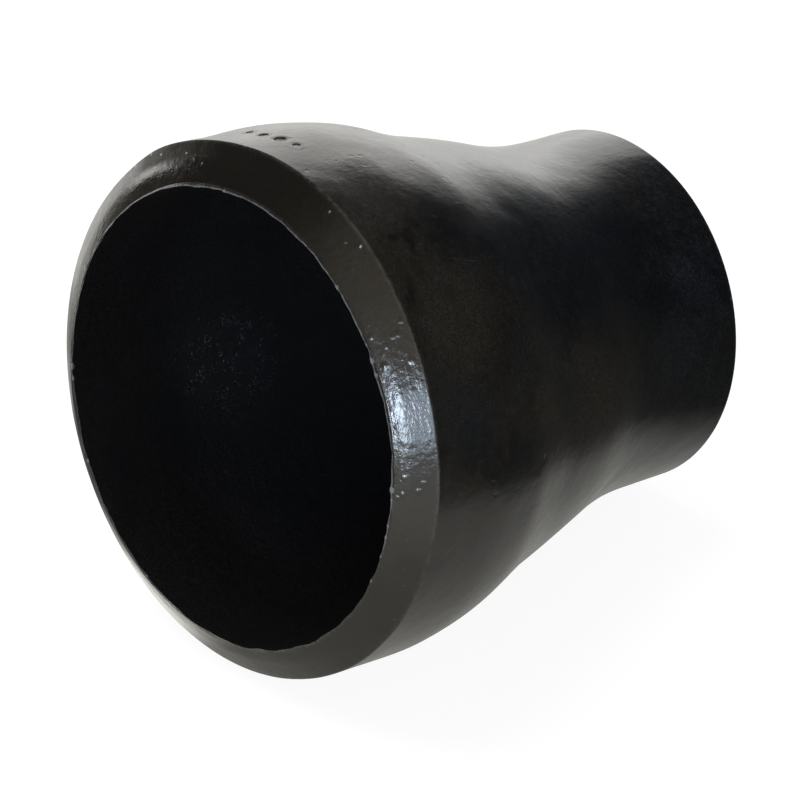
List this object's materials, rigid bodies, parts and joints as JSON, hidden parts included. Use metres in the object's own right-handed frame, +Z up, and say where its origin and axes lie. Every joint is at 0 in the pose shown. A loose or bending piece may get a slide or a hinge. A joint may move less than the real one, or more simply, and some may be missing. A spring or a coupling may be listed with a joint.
{
  "type": "concentric reducer",
  "caption": "Seamless butt-weld concentric reducer: a bell-shaped steel pipe fitting that joins a larger pipe to a smaller one on one centreline, both ends bevelled for welding.",
  "frame": {"origin": "centre of the large end's root face, on the bore axis", "axes": "+Y along the bore axis from the large end to the small end; +Z up with the fitting lying level, as it sits in a horizontal pipe run; +X completes the right-handed set"},
  "size_m": [0.0888, 0.089, 0.0888],
  "materials": {
    "varnished_steel": "semi-gloss black anti-rust varnish over shot-blasted carbon steel"
  },
  "bodies": {
    "root": {"reducer_body": "varnished_steel"}
  },
  "joints": []
}
